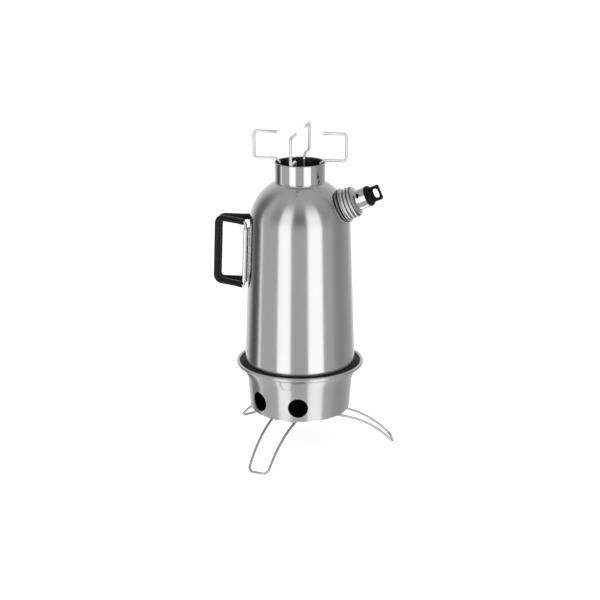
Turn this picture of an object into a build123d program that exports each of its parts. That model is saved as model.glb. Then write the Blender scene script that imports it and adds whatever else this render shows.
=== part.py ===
from build123d import *
import math
import os

# Storm kettle: a double walled stainless kettle on a fire bowl with three wire legs.
# Millimetres, +Z up. The origin is on the kettle's axis at the plane it stands on.
# The spout points along +X and the handle along -X.

# Fire bowl
bowl_bottom_z = 41.6
bowl_height = 52.0
bowl_wall = 0.8
bowl_foot_inset = 2.6
bowl_corner = 4.0
bowl_waist_radius = 55.1
bowl_waist_height = 35.3
flare_hollow_depth = 1.2
rim_roll_reach = 10.6
rim_roll_wire = 1.8
air_hole_diameter = 21.0
air_hole_height = 16.7
air_hole_turns = [-77.3, -127.3, 102.7, 52.7]

# Wire legs
leg_wire = 2.5
leg_reach = 100.3
leg_foot_half = 11.0
leg_pivot_half = 13.6
leg_pivot_reach = 36.0
leg_pivot_drop = 2.6
leg_stack_step = 3.4
leg_rise = 7.0
leg_foot_corner = 6.0
leg_end_corner = 2.6
leg_end_half = 7.6
leg_turns = [259.2, 19.2, 139.2]

# Leg brackets and their rivets
bracket_sheet = 1.2
bracket_half_width = 10.6
bracket_depth = 13.0
bracket_lip_reach = 7.6
bracket_lip_half = 15.4
ear_margin = 3.0
rivet_shank = 3.0
rivet_head = 6.0
rivet_head_height = 1.0
leg_fit = 0.07
touch_gap = 0.3

# Kettle shell, neck and flue
kettle_wall = 0.7
cone_top_z = 246.2
cone_top_inset = 2.34
cone_taper = 2.12
shoulder_radius = 50.2
neck_outer_radius = 26.2
neck_wall = 0.75
neck_top_z = 309.7
neck_foot_fillet = 3.7
neck_foot_sink = 0.15
mouth_bead = 0.55
flue_foot_inset = 5.1
flue_top_straight = 24.4
flue_below_mouth = 1.2

# Spout, along its own axis from a point just under the shoulder
spout_shoulder_angle = 26.3
spout_sink = 2.45
spout_rise_angle = 24.0
spout_neck_radius = 13.6
spout_neck_wall = 1.0
spout_neck_top = 13.0
spout_neck_depth = 9.0
thread_bead = 0.4
thread_bead_count = 3
thread_pitch = 3.0
weld_ring_radius = 17.4
weld_ring_top = 1.0
seal_thickness = 1.7
seal_inner_radius = 14.5
seal_outer_radius = 17.9
seal_slack = 0.05

# Screw cap and whistle
cap_bore_radius = 14.4
cap_wall_radius = 15.6
cap_flange_radius = 18.2
cap_flange_thickness = 1.0
cap_ridge_radius = 1.9
cap_ridge_sink = 0.9
cap_ridge_inset = 0.15
cap_ridge_rise = 2.4
cap_ridge_count = 3
cap_ridge_step = 3.9
cap_headroom = 2.3
cap_wall_over = 0.6
cap_cone_rise = 2.8
cap_top_thickness = 1.2
whistle_radius = 10.5
whistle_wall = 0.8
whistle_length = 10.2
whistle_slot_radius = 3.0
whistle_slot_rise = 1.6
whistle_slot_turn = 148.0
whistle_plate = 0.8
whistle_plate_hole = 3.2
whistle_plate_offsets = [5.0, 7.5]
end_cap_radius = 10.8
end_cap_length = 5.1
end_cap_plug = 1.5
end_cap_bulge_share = 0.45
end_cap_edge_share = 0.15
tab_length = 9.8
tab_width = 15.8
tab_thickness = 3.4
tab_corner = 1.8
tab_edge = 0.6
tab_hole_width = 9.8
tab_hole_length = 5.8
tab_hole_corner = 2.7

# Handle, measured out from the shell's wall at the handle's height
handle_z = 208.0
handle_plate_half = 12.5
handle_plate_thickness = 1.3
barrel_half_spread = 14.0
barrel_stand_off = 1.9
barrel_radius = 2.5
barrel_low = -28.0
barrel_high = 30.0
handle_wire = 3.0
handle_fit = 0.06
grip_reach = 35.7
grip_half_spread = 3.6
run_bend_reach = 12.5
run_bend_half_spread = 9.0
top_run = 36.5
bottom_run = -31.9
wire_end_depth = 12.0
grip_corner = 6.0
run_corner = 12.0
barrel_corner = 3.2
sleeve_radius = 3.3
sleeve_start = 3.4

# Pot support
support_wire = 3.0
support_turn_angle = 3.6
support_cross_angle = 90.0
support_tilt_angle = 1.4
support_tilt_depth = 13.7
support_arm_reach = 48.5
support_tip_reach = 24.0
support_seat_rise = 2.6
upper_seat_rise = 4.4
support_arm_height = 28.0
support_bend_reach = 25.7
upper_bend_reach = 26.6
support_drop_reach = 21.7
support_depth = 30.8
support_cross_gap = 0.4
support_corner = 3.5
support_soft_corner = 2.1


def revolved(face):
    return revolve(Plane.XZ * face, Axis.Z)


def outline(points):
    return make_face(Polyline(*points, close=True))


def tube(outer, inner, low, high):
    return revolved(outline([(inner, low), (outer, low), (outer, high), (inner, high)]))


def bar(points, corners, radius):
    path = FilletPolyline(*points, radius=corners)
    return sweep(Plane(path @ 0, z_dir=path % 0) * Circle(radius), path=path)


def save(shape, node):
    export_step(shape, f"parts/{node}.step")


# Fire bowl: one drawn sheet with a flared rim that is rolled round a bead

rim_roll_z = bowl_bottom_z + bowl_height
rim_roll_radius = bowl_waist_radius + rim_roll_reach
bowl_foot_radius = bowl_waist_radius - bowl_foot_inset
waist_z = bowl_bottom_z + bowl_waist_height
half_wall = bowl_wall / 2
rivet_length = bowl_wall + bracket_sheet + 2 * rivet_head_height


def flare_line():
    start = Vector(bowl_waist_radius, waist_z)
    end = Vector(rim_roll_radius - half_wall, rim_roll_z - rim_roll_wire + half_wall)
    across = (end - start).normalized()
    middle = (start + end) * 0.5 + Vector(-across.Y, across.X) * flare_hollow_depth
    return ThreePointArc((start.X, start.Y), (middle.X, middle.Y), (end.X, end.Y))


def make_bowl():
    centre_z = bowl_bottom_z + half_wall
    wall = FilletPolyline(
        (0, centre_z), (bowl_foot_radius, centre_z), (bowl_waist_radius, waist_z), radius=bowl_corner
    )
    section = trace(wall, bowl_wall) + trace(flare_line(), bowl_wall)
    section += Pos(rim_roll_radius, rim_roll_z) * Circle(rim_roll_wire)
    bowl = revolved(section)
    for turn in air_hole_turns:
        hole = Pos(0, 0, bowl_bottom_z + air_hole_height) * Rot(0, 90, 0)
        hole *= extrude(Circle(air_hole_diameter / 2), 2 * bowl_waist_radius)
        bowl -= Rot(0, 0, turn) * hole
    for turn in leg_turns:
        bowl -= Rot(0, 0, turn) * rivet_hole()
    return bowl


def rivet_hole():
    return Pos(leg_pivot_reach, 0, bowl_bottom_z) * Cylinder(rivet_shank / 2, 2 * rivet_length)


# Wire legs: a U of wire, its two ends turned in through the ears of its bracket.
# Each pivot sits one wire lower than the last, so that the folded legs stack.


def pivot_z(step):
    return bowl_bottom_z - leg_pivot_drop - step * leg_stack_step


def leg_curve(step, share):
    """Reach, half width and height of the leg's side wire at a share of its length."""
    reach = leg_reach - leg_pivot_reach
    drop = pivot_z(step) - leg_wire / 2
    chord = math.hypot(reach, drop)
    rise = leg_rise * (1 - (2 * share - 1) ** 2)
    along = leg_pivot_reach + reach * share + rise * drop / chord
    height = pivot_z(step) - drop * share + rise * reach / chord
    half = leg_pivot_half + (leg_foot_half - leg_pivot_half) * share
    return along, half, height


def make_leg(step):
    bends = [leg_curve(step, share) for share in (0, 0.25, 0.5, 0.75, 1)]
    pivot = (leg_pivot_reach, leg_end_half, pivot_z(step))
    side = [pivot] + bends
    points = side + [(x, -y, z) for x, y, z in reversed(side)]
    spans = [math.dist(a, b) for a, b in zip(bends, bends[1:])]
    corners = [leg_end_corner]
    for index in range(1, 4):
        before = Vector(*bends[index]) - Vector(*bends[index - 1])
        after = Vector(*bends[index + 1]) - Vector(*bends[index])
        turn = math.radians(before.get_angle(after))
        corners.append(0.45 * min(spans[index - 1], spans[index]) / math.tan(turn / 2))
    corners.append(leg_foot_corner)
    return bar(points, corners + corners[::-1], leg_wire / 2)


def leg_wire_top(step, reach):
    """Height of the top of the side wire at a reach near the pivot."""
    share = (reach - leg_pivot_reach) / (leg_reach - leg_pivot_reach)
    for _ in range(4):
        share += (reach - leg_curve(step, share)[0]) / (leg_reach - leg_pivot_reach)
    return leg_curve(step, share)[2] + leg_wire / 2


# Leg bracket: a plate under the bowl, two ears for the wire's ends, and a lip that stops the leg


def make_leg_bracket(step):
    top = bowl_bottom_z
    low = pivot_z(step) - ear_margin
    lip_reach = leg_pivot_reach + bracket_lip_reach
    lip_low = leg_wire_top(step, lip_reach) + touch_gap
    plate = box_between(
        (leg_pivot_reach - bracket_depth / 2, -bracket_half_width, top - bracket_sheet),
        (lip_reach, bracket_half_width, top),
    )
    lip = box_between(
        (lip_reach - bracket_sheet, -bracket_lip_half, lip_low), (lip_reach, bracket_lip_half, top)
    )
    bracket = plate + lip
    for side in (-1, 1):
        outer = side * bracket_half_width
        inner = side * (bracket_half_width - bracket_sheet)
        bracket += box_between(
            (leg_pivot_reach - ear_margin, min(outer, inner), low),
            (leg_pivot_reach + ear_margin, max(outer, inner), top),
        )
    pin = Pos(leg_pivot_reach, 0, pivot_z(step)) * Rot(90, 0, 0)
    bracket -= pin * Cylinder(leg_wire / 2 + leg_fit, 4 * bracket_half_width)
    return bracket - rivet_hole()


def box_between(low, high):
    size = [b - a for a, b in zip(low, high)]
    centre = [(a + b) / 2 for a, b in zip(low, high)]
    return Pos(*centre) * Box(*size)


def make_rivet():
    low = bowl_bottom_z - bracket_sheet - rivet_head_height
    high = low + rivet_length
    rivet = tube(rivet_head / 2, 0, low, low + rivet_head_height)
    rivet += tube(rivet_shank / 2, 0, low, high)
    rivet += tube(rivet_head / 2, 0, high - rivet_head_height, high)
    return Pos(leg_pivot_reach, 0, 0) * rivet


# Kettle shell: a slightly tapered cone that turns over into a round shoulder

taper = math.radians(cone_taper)
cone_top_radius = bowl_waist_radius - cone_top_inset
flue_foot_radius = bowl_waist_radius - flue_foot_inset
shoulder_x = cone_top_radius - shoulder_radius * math.cos(taper)
shoulder_z = cone_top_z - shoulder_radius * math.sin(taper)
neck_bore = neck_outer_radius - neck_wall
# The curve at the neck's foot is a ball that rolls on the shoulder, sunk in it by a little
foot_out = shoulder_radius + neck_foot_fillet
foot_turn = math.acos((neck_outer_radius + neck_foot_fillet - shoulder_x) / foot_out)
neck_foot_z = shoulder_z + foot_out * math.sin(foot_turn) - neck_foot_sink


def cone_radius(z):
    return cone_top_radius + (cone_top_z - z) * math.tan(taper)


def find_seat_z():
    """Height of the shell's foot edge where it stands one small gap off the bowl's flare."""
    flare = flare_line().edge()
    reach = flare.radius + half_wall + touch_gap
    z = rim_roll_z
    for _ in range(12):
        z = flare.arc_center.Y + math.sqrt(reach ** 2 - (flare.arc_center.X - cone_radius(z)) ** 2)
    return z


seat_z = find_seat_z()


def shell_body(inset):
    """The solid inside the shell's outer face, drawn in by an inset."""
    arc = shoulder_radius - inset
    last = math.acos((neck_bore - shoulder_x) / arc)
    corners = [(shoulder_x + arc * math.cos(a), shoulder_z + arc * math.sin(a))
               for a in (taper, (taper + last) / 2, last)]
    edges = Line((0, seat_z), (cone_radius(seat_z) - inset / math.cos(taper), seat_z))
    edges += Line(edges @ 1, corners[0])
    edges += ThreePointArc(*corners)
    edges += Line(corners[2], (0, corners[2][1]))
    edges += Line((0, corners[2][1]), (0, seat_z))
    return revolved(make_face(edges))


def make_shell():
    shell = shell_body(0) - shell_body(kettle_wall)
    shell -= Pos(0, 0, neck_foot_z) * Cylinder(neck_bore, neck_outer_radius)
    return shell - spout_plane * tube(spout_neck_radius, 0, -2 * spout_neck_depth, 2 * spout_neck_depth)


def over_cone():
    """The space above the level where the straight wall turns into the shoulder."""
    half = 2 * cone_top_radius
    return box_between((-half, -half, cone_top_z), (half, half, neck_top_z))


def make_neck():
    centre = (neck_outer_radius + neck_foot_fillet, neck_foot_z)
    toe, middle = [
        (centre[0] - neck_foot_fillet * math.cos(turn), centre[1] - neck_foot_fillet * math.sin(turn))
        for turn in (foot_turn, foot_turn / 2)
    ]
    low = toe[1] - neck_foot_fillet
    edges = Polyline((neck_outer_radius, neck_foot_z), (neck_outer_radius, neck_top_z), (neck_bore, neck_top_z),
                     (neck_bore, low), (toe[0], low), toe)
    edges += ThreePointArc(toe, middle, (neck_outer_radius, neck_foot_z))
    section = make_face(edges)
    section += Pos(neck_outer_radius - mouth_bead / 2, neck_top_z - mouth_bead) * Circle(mouth_bead)
    return revolved(section) - shell_body(0)


# Flue: the inner chimney, wide over the fire and straight inside the neck


def make_flue():
    top = neck_top_z - flue_below_mouth
    straight = top - flue_top_straight
    return revolved(outline([
        (flue_foot_radius, seat_z), (neck_bore, straight), (neck_bore, top), (neck_bore - kettle_wall, top),
        (neck_bore - kettle_wall, straight), (flue_foot_radius - kettle_wall, seat_z),
    ]))


def make_base_ring():
    outer = cone_radius(seat_z) - kettle_wall / math.cos(taper)
    ring = tube(outer + kettle_wall, flue_foot_radius - kettle_wall, seat_z, seat_z + bowl_wall)
    return ring & (shell_body(kettle_wall) - make_flue_core())


def make_flue_core():
    top = neck_top_z - flue_top_straight - flue_below_mouth
    return revolved(outline([(0, seat_z), (flue_foot_radius, seat_z), (neck_bore, top), (0, top)]))


# Spout: a threaded neck in a weld ring on the shoulder

rise = math.radians(spout_rise_angle)
spout_out = shoulder_radius - spout_sink
spout_reach = shoulder_x + spout_out * math.cos(math.radians(spout_shoulder_angle))
spout_z = shoulder_z + spout_out * math.sin(math.radians(spout_shoulder_angle))
spout_plane = Plane(origin=(spout_reach, 0, spout_z), x_dir=(0, 1, 0), z_dir=(math.cos(rise), 0, math.sin(rise)))
cap_low = weld_ring_top + seal_thickness + 2 * seal_slack
cap_inside = spout_neck_top + cap_headroom
cap_wall_top = cap_inside + cap_wall_over
cap_high = cap_wall_top + cap_cone_rise
cap_cone_inside = cap_high - cap_top_thickness
whistle_high = cap_high + whistle_length


def make_spout_neck():
    neck = tube(spout_neck_radius, spout_neck_radius - spout_neck_wall, -spout_neck_depth, spout_neck_top)
    for turn in range(thread_bead_count):
        level = spout_neck_top - 2 * thread_bead - turn * thread_pitch
        neck += revolved(Pos(spout_neck_radius, level) * Circle(thread_bead))
    return spout_plane * neck


def make_weld_ring():
    ring = tube(weld_ring_radius, spout_neck_radius, -spout_neck_depth / 2, weld_ring_top)
    return spout_plane * ring - shell_body(0)


def make_seal():
    low = weld_ring_top + seal_slack
    return spout_plane * tube(seal_outer_radius, seal_inner_radius, low, low + seal_thickness)


# Screw cap: drawn sheet with rolled ridges and a coned top that holds the whistle


def make_cap():
    flange_top = cap_low + cap_flange_thickness
    section = outline([
        (cap_bore_radius, cap_low), (cap_flange_radius, cap_low), (cap_flange_radius, flange_top),
        (cap_wall_radius, flange_top), (cap_wall_radius, cap_wall_top), (whistle_radius, cap_high),
        (whistle_radius, cap_cone_inside), (cap_bore_radius, cap_inside),
    ])
    for index in range(cap_ridge_count):
        level = cap_low + cap_ridge_rise + cap_ridge_step * index
        reach = cap_wall_radius - cap_ridge_sink - cap_ridge_inset * index
        section += Pos(reach, level) * Circle(cap_ridge_radius)
    section -= outline([
        (0, cap_low), (cap_bore_radius, cap_low), (cap_bore_radius, cap_inside), (whistle_radius, cap_cone_inside),
        (0, cap_cone_inside),
    ])
    return spout_plane * revolved(section)


def make_whistle_tube():
    body = tube(whistle_radius, whistle_radius - whistle_wall, cap_cone_inside, whistle_high)
    slot_low = cap_high + whistle_slot_rise
    slot = Pos(0, 0, slot_low) * Rot(0, 90, 0) * extrude(Circle(whistle_slot_radius), 2 * whistle_radius)
    slot &= tube(2 * whistle_radius, 0, slot_low, slot_low + whistle_slot_radius)
    return spout_plane * (body - Rot(0, 0, whistle_slot_turn) * slot)


def make_whistle_plates():
    plates = []
    for offset in whistle_plate_offsets:
        low = cap_high + offset
        plates.append(tube(whistle_radius - whistle_wall, whistle_plate_hole / 2, low, low + whistle_plate))
    return Compound(children=[spout_plane * plate for plate in plates])


# Whistle end: a rubbery plug with a flat pierced tab for the lanyard


def make_end_cap():
    plug = whistle_radius - whistle_wall
    low = whistle_high
    high = low + end_cap_length
    edges = Polyline((0, low - end_cap_plug), (plug, low - end_cap_plug), (plug, low), (whistle_radius, low))
    bulge = (end_cap_radius, low + end_cap_bulge_share * end_cap_length)
    shoulder = (plug, high - end_cap_edge_share * end_cap_length)
    edges += ThreePointArc((whistle_radius, low), bulge, shoulder)
    edges += Polyline(shoulder, (tab_width / 2, high), (0, high), (0, low - end_cap_plug))
    knob = revolved(make_face(edges))
    tab_centre = high + tab_length / 2 - tab_corner / 2
    flat = RectangleRounded(tab_length + tab_corner, tab_width, tab_corner)
    flat -= Pos(tab_corner / 2, 0) * RectangleRounded(tab_hole_length, tab_hole_width, tab_hole_corner)
    tab = extrude(flat, tab_thickness / 2, both=True)
    tab = fillet(tab.edges().filter_by(Axis.Z, reverse=True), tab_edge)
    return spout_plane * (knob + Plane(origin=(0, 0, tab_centre), x_dir=(0, 0, 1), z_dir=(1, 0, 0)) * tab)


# Handle: a plate on the shell with a rolled barrel along each edge, and two wire loops

handle_plane = Plane(
    origin=(-cone_radius(handle_z), 0, handle_z),
    x_dir=(-math.cos(taper), 0, math.sin(taper)),
    z_dir=(math.sin(taper), 0, math.cos(taper)),
)


def make_handle_bracket():
    bracket = box_between((-2 * barrel_radius, -handle_plate_half, barrel_low),
                          (handle_plate_thickness, handle_plate_half, barrel_high))
    bracket = handle_plane * bracket - shell_body(0)
    length = barrel_high - barrel_low
    middle = (barrel_high + barrel_low) / 2
    for side in (-1, 1):
        barrel = Pos(barrel_stand_off, side * barrel_half_spread, middle)
        bracket += handle_plane * barrel * Cylinder(barrel_radius, length)
        bracket -= handle_plane * barrel * Cylinder(handle_wire / 2 + handle_fit, 2 * length)
    return bracket


def loop_points(side, start):
    """The loop's corners from the barrel out to the grip and back, at its centre line."""
    bend = (run_bend_reach, side * run_bend_half_spread)
    grip = (grip_reach, side * grip_half_spread)
    return [
        (*start, top_run), (*bend, top_run), (*grip, top_run),
        (*grip, bottom_run), (*bend, bottom_run), (*start, bottom_run),
    ]


def make_handle_wire(side):
    barrel = (barrel_stand_off, side * barrel_half_spread)
    points = [(*barrel, barrel_high - wire_end_depth)] + loop_points(side, barrel)
    points.append((*barrel, barrel_low + wire_end_depth))
    corners = [barrel_corner, run_corner, grip_corner, grip_corner, run_corner, barrel_corner]
    return handle_plane * bar(points, corners, handle_wire / 2)


def make_sleeve(side):
    barrel = Vector(barrel_stand_off, side * barrel_half_spread)
    bend = Vector(run_bend_reach, side * run_bend_half_spread)
    start = barrel + (bend - barrel).normalized() * sleeve_start
    points = loop_points(side, (start.X, start.Y))
    sleeve = handle_plane * bar(points, [run_corner, grip_corner, grip_corner, run_corner], sleeve_radius)
    return sleeve - make_handle_wire(side)


# Pot support: two wires that cross in the chimney mouth, each with two C shaped arms


def make_support(depth, seat_rise, bend_reach):
    seat = neck_top_z + seat_rise
    top = seat + support_arm_height
    arm = [
        (support_tip_reach, top), (support_arm_reach, top), (support_arm_reach, seat), (bend_reach, seat),
        (support_drop_reach, seat - bend_reach + support_drop_reach), (support_drop_reach, neck_top_z - depth),
    ]
    points = [(x, 0, z) for x, z in arm] + [(-x, 0, z) for x, z in reversed(arm)]
    corners = [support_corner, support_corner, support_soft_corner, support_soft_corner, support_corner]
    return bar(points, corners + corners[::-1], support_wire / 2)


def make_upper_support():
    """The second wire, one wire higher where the two cross, and tilted a little up at the front."""
    wire = make_support(support_depth - support_wire - support_cross_gap, upper_seat_rise, upper_bend_reach)
    middle = Pos(0, 0, neck_top_z - support_tilt_depth)
    wire = middle * Rot(0, support_tilt_angle, 0) * middle.inverse() * wire
    return Rot(0, 0, support_turn_angle + support_cross_angle) * wire


save(make_bowl(), "fire_bowl")
for step, turn in enumerate(leg_turns):
    save(Rot(0, 0, turn) * make_leg(step), f"leg_wire_{step + 1}")
    save(Rot(0, 0, turn) * make_leg_bracket(step), f"leg_bracket_{step + 1}")
save(Compound(children=[Rot(0, 0, turn) * make_rivet() for turn in leg_turns]), "bracket_rivets")
save(make_shell() - over_cone(), "outer_shell")
save(make_shell() & over_cone(), "shell_shoulder")
save(make_neck(), "neck_collar")
save(make_flue(), "flue")
save(make_base_ring(), "base_ring")
save(make_spout_neck(), "spout_neck")
save(make_weld_ring(), "spout_weld_ring")
save(make_seal(), "cap_seal")
save(make_cap(), "screw_cap")
save(make_whistle_tube(), "whistle_tube")
save(make_whistle_plates(), "whistle_plates")
save(make_end_cap(), "whistle_end_cap")
save(make_handle_bracket(), "handle_bracket")
for side, name in ((1, "front"), (-1, "rear")):
    save(make_handle_wire(side), f"handle_wire_{name}")
    save(make_sleeve(side), f"handle_sleeve_{name}")
lower_support = make_support(support_depth, support_seat_rise, support_bend_reach)
save(Rot(0, 0, support_turn_angle) * lower_support, "support_wire_lower")
save(make_upper_support(), "support_wire_upper")
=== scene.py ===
import math

import bmesh
import bpy
from mathutils import Matrix, Vector


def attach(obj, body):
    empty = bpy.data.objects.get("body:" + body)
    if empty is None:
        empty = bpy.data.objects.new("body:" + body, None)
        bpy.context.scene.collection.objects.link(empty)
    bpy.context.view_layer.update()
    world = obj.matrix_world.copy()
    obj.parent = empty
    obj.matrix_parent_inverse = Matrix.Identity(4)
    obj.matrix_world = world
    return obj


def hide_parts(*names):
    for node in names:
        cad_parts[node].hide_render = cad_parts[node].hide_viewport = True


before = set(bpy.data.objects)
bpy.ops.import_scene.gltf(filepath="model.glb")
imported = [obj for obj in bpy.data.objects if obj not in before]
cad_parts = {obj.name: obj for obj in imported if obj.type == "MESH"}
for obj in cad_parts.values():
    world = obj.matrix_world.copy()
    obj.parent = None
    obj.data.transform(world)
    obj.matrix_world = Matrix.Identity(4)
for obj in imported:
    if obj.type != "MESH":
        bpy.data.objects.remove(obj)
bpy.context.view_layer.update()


# ---- Fire bowl ----
# A bowl pressed from one stainless sheet: a flat foot, a nearly upright wall and a flared
# lip that is rolled round a wire. Four round air holes are punched low in the wall.

bowl_foot_z = 41.6
bowl_sheet = 0.8
bowl_foot_radius = 52.5
bowl_corner = 4.0
bowl_waist = (55.1, 76.9)
bowl_lip = (65.3, 92.2)
bowl_lip_hollow = 1.2
bowl_roll = (65.7, 93.6)
bowl_roll_radius = 1.8
air_hole_turns = [-77.3, -127.3, 102.7, 52.7]
air_hole_radius = 10.5
air_hole_z = 58.3
air_punch_near, air_punch_far = 30, 80
wall_shares = (0.25, 0.5, 0.75, 0.94)
# How dark the painted shade inside the bowl is below the waist and at the waist, and how fast it fades up the flare.
bowl_shade_low, bowl_shade_at_waist, bowl_shade_fade = 1.0, 0.85, 0.25
facing_in, facing_up = -0.2, 0.7
plain_crease = 32


def arc_points(start, middle, end, count):
    """Points in mm along the arc that runs through three points."""
    (ax, az), (bx, bz), (cx, cz) = start, middle, end
    twice = 2 * (ax * (bz - cz) + bx * (cz - az) + cx * (az - bz))
    ux = ((ax**2 + az**2) * (bz - cz) + (bx**2 + bz**2) * (cz - az) + (cx**2 + cz**2) * (az - bz)) / twice
    uz = ((ax**2 + az**2) * (cx - bx) + (bx**2 + bz**2) * (ax - cx) + (cx**2 + cz**2) * (bx - ax)) / twice
    radius = math.hypot(ax - ux, az - uz)
    first, mid, last = (math.atan2(z - uz, x - ux) for x, z in (start, middle, end))
    to_mid = (mid - first + math.pi) % (2 * math.pi) - math.pi
    to_last = to_mid + (last - mid + math.pi) % (2 * math.pi) - math.pi
    turns = [first + to_last * step / count for step in range(count + 1)]
    return [(ux + radius * math.cos(a), uz + radius * math.sin(a)) for a in turns]


def round_points(centre, radius, first, last, count):
    """Points in mm round a circle, from one angle in degrees to another."""
    turns = [math.radians(first + (last - first) * step / count) for step in range(count + 1)]
    return [(centre[0] + radius * math.cos(a), centre[1] + radius * math.sin(a)) for a in turns]


def beside(line, gap):
    """A line of points moved sideways, to the left of its own direction."""
    moved = []
    for index, (x, z) in enumerate(line):
        before, after = line[max(index - 1, 0)], line[min(index + 1, len(line) - 1)]
        along = math.hypot(after[0] - before[0], after[1] - before[1])
        moved.append((x - gap * (after[1] - before[1]) / along, z + gap * (after[0] - before[0]) / along))
    return moved


def turned(name, loop, steps=192, place=None, crease=plain_crease):
    """A closed outline of (radius, height) pairs in mm, turned about an axis as on a lathe."""
    build = bmesh.new()
    rings = []
    for step in range(steps):
        a = 2 * math.pi * step / steps
        rings.append([build.verts.new((r * math.cos(a) / 1000, r * math.sin(a) / 1000, z / 1000)) for r, z in loop])
    for step in range(steps):
        here, there = rings[step], rings[(step + 1) % steps]
        for i in range(len(loop)):
            j = (i + 1) % len(loop)
            if loop[i][0] > 1e-6 or loop[j][0] > 1e-6:
                build.faces.new((here[i], there[i], there[j], here[j]))
    bmesh.ops.remove_doubles(build, verts=build.verts, dist=1e-7)
    if place is not None:
        build.transform(place)
    return finished(name, build, crease)


def finished(name, build, crease=plain_crease):
    """The built faces as one named piece, shaded smooth with its real creases kept."""
    bmesh.ops.recalc_face_normals(build, faces=build.faces)
    mesh = bpy.data.meshes.new(name)
    build.to_mesh(mesh)
    build.free()
    mesh.shade_smooth()
    mesh.set_sharp_from_angle(angle=math.radians(crease))
    piece = bpy.data.objects.new(name, mesh)
    bpy.context.scene.collection.objects.link(piece)
    return piece


def baked(piece, crease=plain_crease):
    """Turns a piece's modifiers into plain mesh, and takes the modifiers off."""
    bpy.context.view_layer.update()
    solid = bpy.data.meshes.new_from_object(piece.evaluated_get(bpy.context.evaluated_depsgraph_get()))
    solid.name = piece.name
    piece.modifiers.clear()
    piece.data = solid
    solid.shade_smooth()
    solid.set_sharp_from_angle(angle=math.radians(crease))
    return piece


def pierced(piece, cutters):
    """Cuts the shapes of the cutters out of a piece."""
    for cutter in cutters:
        cut = piece.modifiers.new("cut", "BOOLEAN")
        cut.operation = "DIFFERENCE"
        cut.solver = "EXACT"
        cut.object = cutter
    baked(piece)
    for cutter in cutters:
        bpy.data.objects.remove(cutter)
    return piece


def punch(radius, near, far, place):
    """A round punch along its axis, for a hole through a sheet."""
    return turned("punch", [(0, near), (radius, near), (radius, far), (0, far)], 96, place)


ring_fineness, ring_drift = 2600, 28
grain_fineness, grain_gloss, grain_depth = 1400, 0.08, 0.00001
smudge_scale, smoothest = 34.0, 0.03
noise_low, noise_high = 0.3, 0.7
# The colour and roughness of painted shade.
painted_shade_colour, painted_shade_rough = (0.0015, 0.0014, 0.0013, 1), 0.95


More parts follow.
